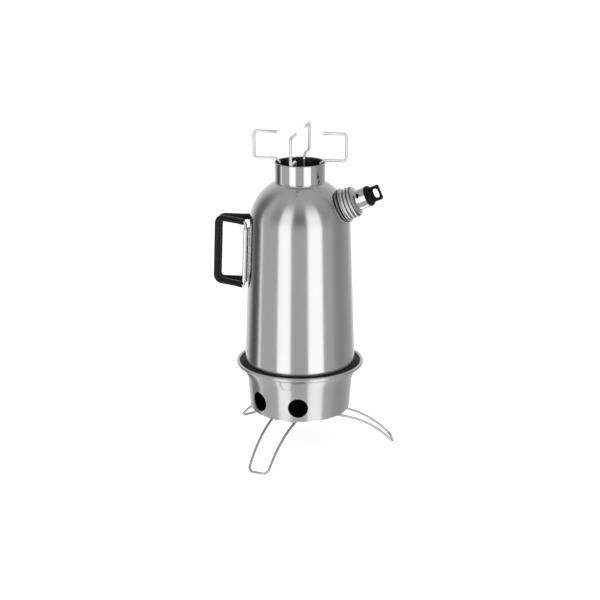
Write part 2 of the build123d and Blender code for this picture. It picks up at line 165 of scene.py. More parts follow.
def steel(name, tint, rough, grain=0.5, rings=True, place=None, smudge=0.05, streak=0.04, with_painted_shade=False, metal=1.0):
    """Stainless steel: fine rings left by turning or polishing, faint smudges and streaks.

    Where asked, each face is painted near black and dull as far as its face attribute says, as painted shade in
    hollows and recesses.
    """
    material = bpy.data.materials.new(name)
    material.use_nodes = True
    tree = material.node_tree
    shader = tree.nodes["Principled BSDF"]
    shader.inputs["Metallic"].default_value = metal
    new, link = tree.nodes.new, tree.links.new

    where = new("ShaderNodeTexCoord")
    turn = new("ShaderNodeMapping")
    turn.vector_type = "TEXTURE"
    if place is not None:
        turn.inputs["Location"].default_value = place.to_translation()
        turn.inputs["Rotation"].default_value = place.to_euler()
    link(where.outputs["Object"], turn.inputs["Vector"])

    if rings:
        flat = new("ShaderNodeVectorMath")
        flat.operation = "MULTIPLY"
        flat.inputs[1].default_value = (1, 1, 0)
        link(turn.outputs["Vector"], flat.inputs[0])
        reach = new("ShaderNodeVectorMath")
        reach.operation = "LENGTH"
        link(flat.outputs[0], reach.inputs[0])
        parts = new("ShaderNodeSeparateXYZ")
        link(turn.outputs["Vector"], parts.inputs[0])
        across = new("ShaderNodeCombineXYZ")
        link(reach.outputs["Value"], across.inputs["X"])
        link(parts.outputs["Z"], across.inputs["Z"])
        fine = new("ShaderNodeVectorMath")
        fine.operation = "MULTIPLY_ADD"
        fine.inputs[1].default_value = (ring_fineness,) * 3
        slow = new("ShaderNodeVectorMath")
        slow.operation = "SCALE"
        slow.inputs["Scale"].default_value = ring_drift
        link(flat.outputs[0], slow.inputs[0])
        link(across.outputs[0], fine.inputs[0])
        link(slow.outputs[0], fine.inputs[2])
        lines = fine.outputs[0]
    else:
        fine = new("ShaderNodeVectorMath")
        fine.operation = "SCALE"
        fine.inputs["Scale"].default_value = grain_fineness
        link(turn.outputs["Vector"], fine.inputs[0])
        lines = fine.outputs[0]
    grain_noise = new("ShaderNodeTexNoise")
    grain_noise.inputs["Scale"].default_value = 1.0
    grain_noise.inputs["Detail"].default_value = 3.0
    grain_noise.inputs["Roughness"].default_value = 0.6
    link(lines, grain_noise.inputs["Vector"])

    smudge_noise = new("ShaderNodeTexNoise")
    smudge_noise.inputs["Scale"].default_value = smudge_scale
    smudge_noise.inputs["Detail"].default_value = 5.0
    link(turn.outputs["Vector"], smudge_noise.inputs["Vector"])

    colour = new("ShaderNodeMix")
    colour.data_type = "RGBA"
    colour.inputs["A"].default_value = (*[c * (1 - streak) for c in tint], 1)
    colour.inputs["B"].default_value = (*[c * (1 + streak) for c in tint], 1)
    link(grain_noise.outputs["Fac"], colour.inputs["Factor"])
    # Painted shade: the colour turns near black as far as the face attribute says.
    if with_painted_shade:
        painted_shade = new("ShaderNodeAttribute")
        painted_shade.attribute_name = "painted_shade"
        shade_tinted = new("ShaderNodeMix")
        shade_tinted.data_type = "RGBA"
        shade_tinted.inputs["B"].default_value = painted_shade_colour
        link(painted_shade.outputs["Fac"], shade_tinted.inputs["Factor"])
        link(colour.outputs["Result"], shade_tinted.inputs["A"])
        link(shade_tinted.outputs["Result"], shader.inputs["Base Color"])
    else:
        link(colour.outputs["Result"], shader.inputs["Base Color"])

    gloss = new("ShaderNodeMapRange")
    gloss.inputs["From Min"].default_value = noise_low
    gloss.inputs["From Max"].default_value = noise_high
    gloss.inputs["To Min"].default_value = max(rough - smudge, smoothest)
    gloss.inputs["To Max"].default_value = rough + smudge
    link(smudge_noise.outputs["Fac"], gloss.inputs["Value"])
    scratched = new("ShaderNodeMath")
    scratched.operation = "MULTIPLY_ADD"
    scratched.inputs[1].default_value = grain_gloss * grain
    link(grain_noise.outputs["Fac"], scratched.inputs[0])
    link(gloss.outputs["Result"], scratched.inputs[2])
    # Painted shade also turns the finish dull there.
    if with_painted_shade:
        shade_roughened = new("ShaderNodeMix")
        shade_roughened.inputs["B"].default_value = painted_shade_rough
        link(painted_shade.outputs["Fac"], shade_roughened.inputs["Factor"])
        link(scratched.outputs[0], shade_roughened.inputs["A"])
        link(shade_roughened.outputs["Result"], shader.inputs["Roughness"])
    else:
        link(scratched.outputs[0], shader.inputs["Roughness"])

    relief = new("ShaderNodeBump")
    relief.inputs["Strength"].default_value = grain
    relief.inputs["Distance"].default_value = grain_depth
    link(grain_noise.outputs["Fac"], relief.inputs["Height"])
    link(relief.outputs["Normal"], shader.inputs["Normal"])
    return material


def dressed(piece, body, slot, material, *nodes):
    """Gives a piece its finish, its body and the CAD nodes that it stands for."""
    piece.data.materials.clear()
    piece.data.materials.append(material)
    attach(piece, body)
    if nodes:
        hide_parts(*nodes)
    return piece


def make_fire_bowl():
    middle_z = bowl_foot_z + bowl_sheet / 2
    lean = math.atan2(bowl_waist[0] - bowl_foot_radius, bowl_waist[1] - middle_z)
    set_back = bowl_corner * math.tan((math.pi / 2 - lean) / 2)
    corner = (bowl_foot_radius - set_back, middle_z + bowl_corner)
    wall = [(0, middle_z)] + round_points(corner, bowl_corner, -90, -math.degrees(lean), 12)
    chord = (bowl_lip[0] - bowl_waist[0], bowl_lip[1] - bowl_waist[1])
    length = math.hypot(*chord)
    middle = ((bowl_waist[0] + bowl_lip[0]) / 2 - bowl_lip_hollow * chord[1] / length,
              (bowl_waist[1] + bowl_lip[1]) / 2 + bowl_lip_hollow * chord[0] / length)
    foot_x, foot_z = wall[-1]
    wall += [(foot_x + (bowl_waist[0] - foot_x) * share, foot_z + (bowl_waist[1] - foot_z) * share)
             for share in wall_shares]
    wall += arc_points(bowl_waist, middle, bowl_lip, 20)[1:]
    inside = [p for p in beside(wall, bowl_sheet / 2) if math.dist(p, bowl_roll) > bowl_roll_radius]
    outside = [p for p in beside(wall, -bowl_sheet / 2) if math.dist(p, bowl_roll) > bowl_roll_radius]
    first, last = (math.degrees(math.atan2(z - bowl_roll[1], x - bowl_roll[0]))
                   for x, z in (outside[-1], inside[-1]))
    roll = round_points(bowl_roll, bowl_roll_radius, first, last % 360, 28)
    loop = outside + roll + inside[::-1]
    loop[0], loop[-1] = (0, bowl_foot_z), (0, bowl_foot_z + bowl_sheet)
    bowl = turned("fire_bowl_sheet", loop, 256)
    height = Matrix.Translation((0, 0, air_hole_z / 1000))
    pierced(bowl, [
        punch(air_hole_radius, air_punch_near, air_punch_far,
              height @ Matrix.Rotation(math.radians(turn), 4, "Z") @ Matrix.Rotation(math.radians(90), 4, "Y"))
        for turn in air_hole_turns])
    # Painted shade: faces below the lip that point inwards or upwards are painted near black, fading out up the flare.
    bowl_inner_shade = bowl.data.attributes.new("painted_shade", "FLOAT", "FACE")
    for face in bowl.data.polygons:
        outwards = face.normal.xy.dot(face.center.xy.normalized())
        above_waist = (face.center.z * 1000 - bowl_waist[1]) / (bowl_lip[1] - bowl_waist[1])
        if above_waist < 1 and (outwards < facing_in or face.normal.z > facing_up):
            bowl_inner_shade.data[face.index].value = bowl_shade_low if above_waist < 0 else bowl_shade_at_waist - bowl_shade_fade * above_waist
    return bowl


bowl_finish = steel("bowl_satin_steel", (0.44, 0.44, 0.443), 0.18, grain=0.3, with_painted_shade=True, metal=0.75)
dressed(make_fire_bowl(), "fire_bowl", "bowl_steel", bowl_finish, "fire_bowl")


# ---- Leg brackets and rivets ----
# A folded steel plate under the bowl carries each leg in two ears, and its lip stops the leg.
# A rivet with two domed heads holds each plate to the bowl's foot.

bracket_turns = [259.2, 19.2, 139.2]
rivet_reach = 36.0
rivet_head_radius = 3.0
rivet_head_rise = 1.0
bracket_sheet = 1.2
rivet_levels = [bowl_foot_z - bracket_sheet, bowl_foot_z + bowl_sheet]


def started_tree(name, sizes):
    """A Geometry Nodes tree with named inputs for its shape and sizes, and one for its finish."""
    tree = bpy.data.node_groups.new(name, "GeometryNodeTree")
    for size, kind in [*sizes, ("Finish", "Material")]:
        tree.interface.new_socket(size, in_out="INPUT", socket_type=f"NodeSocket{kind}")
    tree.interface.new_socket("Piece", in_out="OUTPUT", socket_type="NodeSocketGeometry")
    return tree, tree.nodes.new("NodeGroupInput").outputs


def ended_tree(tree, shape, finish):
    """Ends a tree with real geometry that wears its finish."""
    new, link = tree.nodes.new, tree.links.new
    real, paint = new("GeometryNodeRealizeInstances"), new("GeometryNodeSetMaterial")
    link(shape, real.inputs["Geometry"])
    link(real.outputs["Geometry"], paint.inputs["Geometry"])
    link(finish, paint.inputs["Material"])
    link(paint.outputs["Geometry"], new("NodeGroupOutput").inputs["Piece"])
    return tree


def rivet_tree():
    """Squashed balls set on points, as the domed heads of rivets."""
    tree, given = started_tree("domed rivets", [
        ("Places", "Geometry"), ("Head radius", "Float"), ("Head rise", "Float")])
    new, link = tree.nodes.new, tree.links.new
    ball = new("GeometryNodeMeshUVSphere")
    ball.inputs["Segments"].default_value = 32
    ball.inputs["Rings"].default_value = 16
    ball.inputs["Radius"].default_value = 1.0
    size = new("ShaderNodeCombineXYZ")
    link(given["Head radius"], size.inputs["X"])
    link(given["Head radius"], size.inputs["Y"])
    link(given["Head rise"], size.inputs["Z"])
    squash = new("GeometryNodeTransform")
    link(ball.outputs["Mesh"], squash.inputs["Geometry"])
    link(size.outputs[0], squash.inputs["Scale"])
    spread = new("GeometryNodeInstanceOnPoints")
    link(given["Places"], spread.inputs["Points"])
    link(squash.outputs["Geometry"], spread.inputs["Instance"])
    return ended_tree(tree, spread.outputs["Instances"], given["Finish"])


def grown(name, points, edges, tree, sizes, marks=None, crease=plain_crease):
    """Runs a Geometry Nodes tree on a line or a set of points in metres, and keeps the plain mesh."""
    mesh = bpy.data.meshes.new(name)
    mesh.from_pydata(points, edges, [])
    for mark, values in (marks or {}).items():
        mesh.attributes.new(mark, "FLOAT", "POINT").data.foreach_set("value", values)
    piece = bpy.data.objects.new(name, mesh)
    bpy.context.scene.collection.objects.link(piece)
    growth = piece.modifiers.new(tree.name, "NODES")
    growth.node_group = tree
    for socket in tree.interface.items_tree:
        if socket.in_out == "INPUT" and socket.name in sizes:
            growth[socket.identifier] = sizes[socket.name]
    return baked(piece, crease)


bracket_finish = steel("bracket_plain_steel", (0.42, 0.42, 0.43), 0.3, grain=0.3, rings=False)
for step in (1, 2, 3):
    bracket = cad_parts[f"leg_bracket_{step}"]
    bracket.data.materials.clear()
    bracket.data.materials.append(bracket_finish)
rivet_places = [
    (rivet_reach * math.cos(math.radians(turn)) / 1000, rivet_reach * math.sin(math.radians(turn)) / 1000, z / 1000)
    for turn in bracket_turns for z in rivet_levels
]
rivets = grown("domed_rivets", rivet_places, [], rivet_tree(), {
    "Head radius": rivet_head_radius / 1000, "Head rise": rivet_head_rise / 1000, "Finish": bracket_finish})
dressed(rivets, "fire_bowl", "bracket_steel", bracket_finish, "bracket_rivets")


# ---- Wire legs ----
# Three U shaped legs bent from one stainless wire each, bowed a little upwards, with both
# ends turned in through the bracket's ears so that the leg folds flat under the bowl.

leg_wire = 2.5
leg_reach = 100.3
leg_pivot_reach = 36.0
leg_pivot_z = 39.0
leg_stack_step = 3.4
leg_rise = 7.0
leg_foot_half = 11.0
leg_pivot_half = 13.6
leg_end_half = 7.6
leg_foot_corner = 6.0
leg_end_corner = 2.6
leg_shares = (0, 0.25, 0.5, 0.75, 1)
leg_bow_ease = 0.45


def bent_wire_tree():
    """A round wire along a line, each corner bent to the radius that its point carries."""
    tree, given = started_tree("bent wire", [("Line", "Geometry"), ("Wire radius", "Float"), ("Sides", "Int")])
    new, link = tree.nodes.new, tree.links.new
    line = new("GeometryNodeMeshToCurve")
    link(given["Line"], line.inputs["Mesh"])
    bend = new("GeometryNodeInputNamedAttribute")
    bend.data_type = "FLOAT"
    bend.inputs["Name"].default_value = "bend"
    fillet = new("GeometryNodeFilletCurve")
    fillet.mode = "POLY"
    fillet.inputs["Count"].default_value = 12
    fillet.inputs["Limit Radius"].default_value = True
    link(line.outputs["Curve"], fillet.inputs["Curve"])
    link(bend.outputs["Attribute"], fillet.inputs["Radius"])
    ring = new("GeometryNodeCurvePrimitiveCircle")
    link(given["Wire radius"], ring.inputs["Radius"])
    link(given["Sides"], ring.inputs["Resolution"])
    wire = new("GeometryNodeCurveToMesh")
    wire.inputs["Fill Caps"].default_value = True
    link(fillet.outputs["Curve"], wire.inputs["Curve"])
    link(ring.outputs["Curve"], wire.inputs["Profile Curve"])
    return ended_tree(tree, wire.outputs["Mesh"], given["Finish"])


bent_wire = bent_wire_tree()
end_edge_angle = math.radians(60)


def wire_piece(name, points, corners, radius, finish, place, ease=0.3, sides=24):
    """A wire through points in mm, with its corner radii, its cut ends eased a little."""
    places = [place @ (Vector(p) / 1000) for p in points]
    edges = [(i, i + 1) for i in range(len(points) - 1)]
    bends = [0.0] + [c / 1000 for c in corners] + [0.0]
    piece = grown(name, places, edges, bent_wire, {"Wire radius": radius / 1000, "Sides": sides, "Finish": finish},
                  {"bend": bends})
    cut = piece.modifiers.new("eased ends", "BEVEL")
    cut.width = ease / 1000
    cut.segments = 3
    cut.limit_method = "ANGLE"
    cut.angle_limit = end_edge_angle
    return baked(piece)


def leg_side(step):
    """Points of one side wire, from its pivot out to its foot."""
    pivot = leg_pivot_z - step * leg_stack_step
    span = leg_reach - leg_pivot_reach
    drop = pivot - leg_wire / 2
    chord = math.hypot(span, drop)
    line = []
    for share in leg_shares:
        rise = leg_rise * (1 - (2 * share - 1) ** 2)
        line.append(Vector((leg_pivot_reach + span * share + rise * drop / chord,
                            leg_pivot_half + (leg_foot_half - leg_pivot_half) * share,
                            pivot - drop * share + rise * span / chord)))
    return [Vector((leg_pivot_reach, leg_end_half, pivot))] + line


wire_finish = steel("wire_bright_steel", (0.45, 0.45, 0.455), 0.26, grain=0.02, rings=False, smudge=0.02)
for step, turn in enumerate(bracket_turns):
    side = leg_side(step)
    bends = [leg_end_corner]
    for i in (2, 3, 4):
        before, after = side[i] - side[i - 1], side[i + 1] - side[i]
        bends.append(leg_bow_ease * min(before.length, after.length) / math.tan(before.angle(after) / 2))
    bends.append(leg_foot_corner)
    points = side + [Vector((p.x, -p.y, p.z)) for p in reversed(side)]
    leg = wire_piece(f"leg_{step + 1}_wire", points, bends + bends[::-1], leg_wire / 2, wire_finish,
                     Matrix.Rotation(math.radians(turn), 4, "Z"))
    dressed(leg, f"leg_{step + 1}", "wire_steel", wire_finish, f"leg_wire_{step + 1}")


# ---- Kettle shell ----
# The outer wall of the water jacket, spun from stainless sheet: a slightly tapered side
# that turns over into a round shoulder, brushed round and round.

shell_sheet = 0.7
shell_taper = math.radians(2.12)
shell_top = (52.76, 246.2)
shell_foot_z = 89.36
shoulder_radius = 50.2
neck_radius = 26.2
neck_sheet = 0.75
side_steps = 24
spout_lean = math.radians(24)
spout_root = (45.4, 265.5)
spout_hole_radius = 13.6
spout_punch_reach = 12


def shell_radius(z):
    """The shell's outer radius at a height."""
    return shell_top[0] + (shell_top[1] - z) * math.tan(shell_taper)


shoulder_centre = (shell_top[0] - shoulder_radius * math.cos(shell_taper),
                   shell_top[1] - shoulder_radius * math.sin(shell_taper))


def shoulder_line(inset):
    """The shoulder's arc from the side wall up to the neck's bore."""
    arc = shoulder_radius - inset
    last = math.degrees(math.acos((neck_radius - neck_sheet - shoulder_centre[0]) / arc))
    return round_points(shoulder_centre, arc, math.degrees(shell_taper), last, 40)


spout_place = Matrix((
    (0, -math.sin(spout_lean), math.cos(spout_lean), spout_root[0] / 1000),
    (1, 0, 0, 0),
    (0, math.cos(spout_lean), math.sin(spout_lean), spout_root[1] / 1000),
    (0, 0, 0, 1),
))


def make_kettle_shell():
    levels = [shell_foot_z + (shell_top[1] - shell_foot_z) * step / side_steps for step in range(side_steps + 1)]
    side = [(shell_radius(z), z) for z in levels]
    outside = side + shoulder_line(0)[1:]
    inner_foot = (shell_radius(shell_foot_z) - shell_sheet, shell_foot_z)
    shell = turned("kettle_shell", outside + shoulder_line(shell_sheet)[::-1] + [inner_foot], 256)
    return pierced(shell, [punch(spout_hole_radius, -spout_punch_reach, spout_punch_reach, spout_place)])


shell_finish = steel("shell_satin_steel", (0.46, 0.46, 0.463), 0.13, grain=0.35, smudge=0.03)
dressed(make_kettle_shell(), "kettle", "shell_steel", shell_finish, "outer_shell", "shell_shoulder")


# ---- Neck ----
# A short polished collar welded on top of the shoulder, with a soft curve at its foot and
# a small bead turned over at the mouth.

neck_mouth_z = 309.7
neck_foot_fillet = 3.7
neck_foot_sink = 0.15
neck_foot_depth = 0.8
neck_steps = 6
mouth_bead = 0.55


def make_neck():
    bore = neck_radius - neck_sheet
    foot_out = shoulder_radius + neck_foot_fillet
    turn = math.acos((neck_radius + neck_foot_fillet - shoulder_centre[0]) / foot_out)
    fillet = (neck_radius + neck_foot_fillet, shoulder_centre[1] + foot_out * math.sin(turn) - neck_foot_sink)
    foot = round_points(fillet, neck_foot_fillet, 180 + math.degrees(turn), 180, 14)
    bead = (neck_radius - mouth_bead / 2, neck_mouth_z - mouth_bead)
    side = [(neck_radius, fillet[1] + (bead[1] - fillet[1]) * step / neck_steps) for step in range(1, neck_steps)]
    top = round_points(bead, mouth_bead, -60, 240, 14)
    low = foot[0][1] - neck_foot_depth
    loop = [(foot[0][0], low)] + foot + side + top + [(bore, fillet[1]), (bore, low)]
    return turned("neck_collar_turned", loop, 192)


neck_finish = steel("neck_polished_steel", (0.47, 0.47, 0.473), 0.08, grain=0.2, smudge=0.03)
dressed(make_neck(), "kettle", "neck_steel", neck_finish, "neck_collar")


# ---- Flue and base ring ----
# The chimney inside the kettle, a cone of stainless sheet that runs straight inside the
# neck, and the flat ring that closes the water jacket at the bottom.

flue_sheet = 0.7
flue_foot_radius = 50.0
flue_top_z = neck_mouth_z - 1.2
flue_straight = 24.4


def make_flue():
    bore = neck_radius - neck_sheet
    top, straight = flue_top_z, flue_top_z - flue_straight
    loop = [(flue_foot_radius, shell_foot_z), (bore, straight), (bore, top), (bore - flue_sheet, top),
            (bore - flue_sheet, straight), (flue_foot_radius - flue_sheet, shell_foot_z)]
    return turned("flue_cone", loop, 128)


flue_finish = steel("flue_dull_steel", (0.2, 0.2, 0.2), 0.3, grain=0.3)
dressed(make_flue(), "kettle", "flue_steel", flue_finish, "flue")
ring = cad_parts["base_ring"]
ring.data.materials.clear()
ring.data.materials.append(flue_finish)


# ---- Spout ----
# A threaded steel neck in a thick ring that is welded to the shoulder. The cap's rubber
# seal lies on the ring, and the thread is one rolled rib wound round the neck.

spout_neck_sheet = 1.0
spout_neck_foot, spout_neck_top = -9, 13.0
spout_neck_edge = 0.3
thread_start = 5.6
thread_pitch = 3.0
thread_turns = 2.1
thread_rib = 0.4
weld_ring_radius = 17.4
weld_ring_foot, weld_ring_top = -4.5, 1.0
weld_ring_edge, weld_ring_round = 0.4, 0.12
seal_inner, seal_outer, seal_low, seal_high = 14.5, 17.9, 1.05, 2.75
seal_edge_share = 0.3


def thread_tree():
    """One rib wound round the neck as a screw thread."""
    tree, given = started_tree("screw thread", [
        ("Line", "Geometry"), ("Neck radius", "Float"), ("Rib radius", "Float"), ("Turns", "Float"),
        ("Height", "Float")])
    new, link = tree.nodes.new, tree.links.new
    helix = new("GeometryNodeCurveSpiral")
    helix.inputs["Resolution"].default_value = 64
    link(given["Turns"], helix.inputs["Rotations"])
    link(given["Neck radius"], helix.inputs["Start Radius"])
    link(given["Neck radius"], helix.inputs["End Radius"])
    link(given["Height"], helix.inputs["Height"])
    rib = new("GeometryNodeCurvePrimitiveCircle")
    rib.inputs["Resolution"].default_value = 10
    link(given["Rib radius"], rib.inputs["Radius"])
    thread = new("GeometryNodeCurveToMesh")
    thread.inputs["Fill Caps"].default_value = True
    link(helix.outputs["Curve"], thread.inputs["Curve"])
    link(rib.outputs["Curve"], thread.inputs["Profile Curve"])
    return ended_tree(tree, thread.outputs["Mesh"], given["Finish"])


spout_finish = steel("spout_bright_steel", (0.52, 0.52, 0.525), 0.16, grain=0.4, place=spout_place)
spout_neck = turned("spout_neck_turned", [
    (spout_hole_radius - spout_neck_sheet, spout_neck_foot), (spout_hole_radius, spout_neck_foot),
    (spout_hole_radius, spout_neck_top - spout_neck_edge), (spout_hole_radius - spout_neck_edge, spout_neck_top),
    (spout_hole_radius - spout_neck_sheet, spout_neck_top)], 96, spout_place)
dressed(spout_neck, "kettle", "spout_steel", spout_finish, "spout_neck")
thread = grown("spout_thread", [(0, 0, 0)], [], thread_tree(), {
    "Neck radius": spout_hole_radius / 1000, "Rib radius": thread_rib / 1000, "Turns": thread_turns,
    "Height": thread_turns * thread_pitch / 1000, "Finish": spout_finish})
thread.data.transform(spout_place @ Matrix.Translation((0, 0, thread_start / 1000)))
dressed(thread, "kettle", "spout_steel", spout_finish)
weld_ring = turned("spout_ring_turned", [
    (spout_hole_radius, weld_ring_foot), (weld_ring_radius, weld_ring_foot),
    (weld_ring_radius, weld_ring_top - weld_ring_edge),
    (weld_ring_radius - weld_ring_round, weld_ring_top - weld_ring_round),
    (weld_ring_radius - weld_ring_edge, weld_ring_top), (spout_hole_radius, weld_ring_top)], 128, spout_place)
weld_ring_finish = steel("weld_ring_plain_steel", (0.2, 0.2, 0.2), 0.42, grain=0.4, place=spout_place)
dressed(weld_ring, "kettle", "spout_steel", weld_ring_finish, "spout_weld_ring")


worn_patches, skin_depth = 60.0, 0.00002
skin_shades = (0.8, 1.3)
skin_gloss = (-0.06, 0.08)


def rubber(name, tint, rough, grain=0.15, scale=900, shine=0.5):
    """Moulded rubber or plastic: a fine matt skin with a few shinier patches."""
    material = bpy.data.materials.new(name)
    material.use_nodes = True
    tree = material.node_tree
    shader = tree.nodes["Principled BSDF"]
    shader.inputs["Specular IOR Level"].default_value = shine
    new, link = tree.nodes.new, tree.links.new
    where = new("ShaderNodeTexCoord")
    skin = new("ShaderNodeTexNoise")
    skin.inputs["Scale"].default_value = scale
    skin.inputs["Detail"].default_value = 3.0
    link(where.outputs["Object"], skin.inputs["Vector"])
    rubbed = new("ShaderNodeTexNoise")
    rubbed.inputs["Scale"].default_value = worn_patches
    rubbed.inputs["Detail"].default_value = 4.0
    link(where.outputs["Object"], rubbed.inputs["Vector"])
    colour = new("ShaderNodeMix")
    colour.data_type = "RGBA"
    colour.inputs["A"].default_value = (*[c * skin_shades[0] for c in tint], 1)
    colour.inputs["B"].default_value = (*[c * skin_shades[1] for c in tint], 1)
    link(rubbed.outputs["Fac"], colour.inputs["Factor"])
    link(colour.outputs["Result"], shader.inputs["Base Color"])
    gloss = new("ShaderNodeMapRange")
    gloss.inputs["From Min"].default_value = noise_low
    gloss.inputs["From Max"].default_value = noise_high
    gloss.inputs["To Min"].default_value = rough + skin_gloss[0]
    gloss.inputs["To Max"].default_value = rough + skin_gloss[1]
    link(rubbed.outputs["Fac"], gloss.inputs["Value"])
    link(gloss.outputs["Result"], shader.inputs["Roughness"])
    relief = new("ShaderNodeBump")
    relief.inputs["Strength"].default_value = grain
    relief.inputs["Distance"].default_value = skin_depth
    link(skin.outputs["Fac"], relief.inputs["Height"])
    link(relief.outputs["Normal"], shader.inputs["Normal"])
    return material


seal_finish = rubber("seal_black_rubber", (0.006, 0.006, 0.006), 0.6, shine=0.12)
seal_edge = (seal_high - seal_low) * seal_edge_share
seal = turned("cap_seal_ring", [
    (seal_inner, seal_low), (seal_outer - seal_edge, seal_low), (seal_outer, seal_low + seal_edge),
    (seal_outer, seal_high - seal_edge), (seal_outer - seal_edge, seal_high), (seal_inner, seal_high)],
    96, spout_place, crease=60)
dressed(seal, "seal", "seal_rubber", seal_finish, "cap_seal")


# ---- Screw cap ----
# Drawn stainless sheet with a flat rim, three rolled ridges for the grip, and a coned top
# with fine turning lines that holds the whistle's tube.

cap_low, cap_inside, cap_wall_top, cap_high = 2.8, 15.3, 15.9, 18.7
cap_cone_inside = 17.5
cap_bore = 14.4
cap_wall = 15.6
cap_flange = (18.2, 1.0)
cap_ridge = 1.9
cap_ridge_sink = 0.9
cap_ridge_levels = [5.2, 9.1, 13.0]
cap_ridge_inset = 0.15
cap_edge = [(0, -0.35), (-0.1, -0.1), (-0.4, 0.2)]
cap_joint = [(0.3, -0.2), (0, -0.1)]
groove_depth, groove_low_z = 0.55, 3.9
# How fast painted shade deepens down a groove, and how dark it gets at most.
groove_shade_rate, groove_shade_most = 1.6, 0.75
whistle_radius = 10.5


def make_cap():
    flange_top = cap_low + cap_flange[1]
    half = math.degrees(math.acos(cap_ridge_sink / cap_ridge))
    half_rim = cap_flange[1] / 2
    rim = round_points((cap_flange[0] - half_rim, cap_low + half_rim), half_rim, -90, 90, 8)
    line = [(cap_bore, cap_low)] + rim
    for index, level in enumerate(cap_ridge_levels):
        reach = cap_wall - cap_ridge_sink - cap_ridge_inset * index
        first = -half if level - cap_ridge > flange_top else math.degrees(math.asin((flange_top - level) / cap_ridge))
        line += round_points((reach, level), cap_ridge, first, half, 16)
    line += [(cap_wall + x, cap_wall_top + z) for x, z in cap_edge]
    line += [(whistle_radius + x, cap_high + z) for x, z in cap_joint]
    line += [(whistle_radius, cap_cone_inside), (cap_bore, cap_inside)]
    cap = turned("screw_cap_drawn", line, 192, spout_place)
    # Painted shade: faces deep in the grooves between the ridges are painted dark.
    groove_shade = cap.data.attributes.new("painted_shade", "FLOAT", "FACE")
    for face in cap.data.polygons:
        inward = spout_place.inverted() @ face.center * 1000
        deep = cap_wall - cap_ridge_sink + cap_ridge - inward.xy.length
        if groove_low_z < inward.z < cap_wall_top and deep > groove_depth:
            groove_shade.data[face.index].value = min((deep - groove_depth) * groove_shade_rate, groove_shade_most)
    return cap


cap_groove_shade_finish = steel("cap_steel_groove_shade", (0.5, 0.5, 0.505), 0.1, grain=0.6, place=spout_place, streak=0.08,
                           with_painted_shade=True)
dressed(make_cap(), "cap", "spout_steel", cap_groove_shade_finish, "screw_cap")
cap_finish = steel("cap_turned_steel", (0.5, 0.5, 0.505), 0.1, grain=0.4, place=spout_place, streak=0.06)


# ---- Whistle ----
# A short steel tube on the cap with a D shaped mouth cut in its side and two pierced
# plates inside, closed by a rubbery plug with a flat tab for the lanyard.

whistle_sheet = 0.8
whistle_top = 28.9
whistle_edge = 0.2
whistle_mouth_radius = 3.0
whistle_mouth_z = 20.3
whistle_mouth_turn = 148.0
whistle_plate_levels = [23.7, 26.2]
whistle_plate_hole = 1.6
whistle_plate_sheet = 0.8
plug_radius = 10.8
plug_depth = 1.5
plug_top = 34.0
plug_bulge_share, plug_crown_share = 0.45, 0.15
plug_crown = (-0.5, -0.4)
plug_voxel = 0.24
plug_smoothing, plug_smoothings = 0.5, 10
tab_width, tab_length, tab_thickness, tab_corner = 15.8, 11.6, 3.4, 1.8
tab_centre = 38.0
tab_hole_width, tab_hole_length, tab_hole_corner, tab_hole_centre = 9.8, 5.8, 2.7, 38.9


def slab(name, outline, low, high, place, crease=plain_crease):
    """A flat outline of (x, y) pairs in mm, made solid between two heights."""
    build = bmesh.new()
    lower = [build.verts.new((x / 1000, y / 1000, low / 1000)) for x, y in outline]
    upper = [build.verts.new((x / 1000, y / 1000, high / 1000)) for x, y in outline]
    build.faces.new(lower)
    build.faces.new(upper)
    for i in range(len(outline)):
        j = (i + 1) % len(outline)
        build.faces.new((lower[i], lower[j], upper[j], upper[i]))
    build.transform(place)
    return finished(name, build, crease)


def rounded_outline(length, width, corner, centre):
    """A rounded rectangle of (x, y) pairs in mm, its length along x."""
    outline = []
    for sx, sy, first in ((1, 1, 0), (-1, 1, 90), (-1, -1, 180), (1, -1, 270)):
        middle = (centre + sx * (length / 2 - corner), sy * (width / 2 - corner))
        outline += round_points(middle, corner, first, first + 90, 10)
    return outline


def make_whistle_tube():
    tube = turned("whistle_tube_drawn", [
        (whistle_radius - whistle_sheet, cap_cone_inside), (whistle_radius, cap_cone_inside),
        (whistle_radius, whistle_top - whistle_edge), (whistle_radius - whistle_edge, whistle_top),
        (whistle_radius - whistle_sheet, whistle_top)], 128, spout_place)
    mouth = slab("mouth", round_points((0, 0), whistle_mouth_radius, 0, 180, 24), 0, 2 * whistle_radius,
                 spout_place @ Matrix.Translation((0, 0, whistle_mouth_z / 1000))
                 @ Matrix.Rotation(math.radians(whistle_mouth_turn), 4, "Z")
                 @ Matrix(((0, 0, 1, 0), (1, 0, 0, 0), (0, 1, 0, 0), (0, 0, 0, 1))))
    return pierced(tube, [mouth])


dressed(make_whistle_tube(), "cap", "spout_steel", cap_finish, "whistle_tube")
for index, level in enumerate(whistle_plate_levels):
    plate = turned(f"whistle_plate_{index + 1}", [
        (whistle_plate_hole, level), (whistle_radius - whistle_sheet, level),
        (whistle_radius - whistle_sheet, level + whistle_plate_sheet),
        (whistle_plate_hole, level + whistle_plate_sheet)], 64, spout_place)
    dressed(plate, "cap", "spout_steel", cap_finish, *(["whistle_plates"] if index == 0 else []))


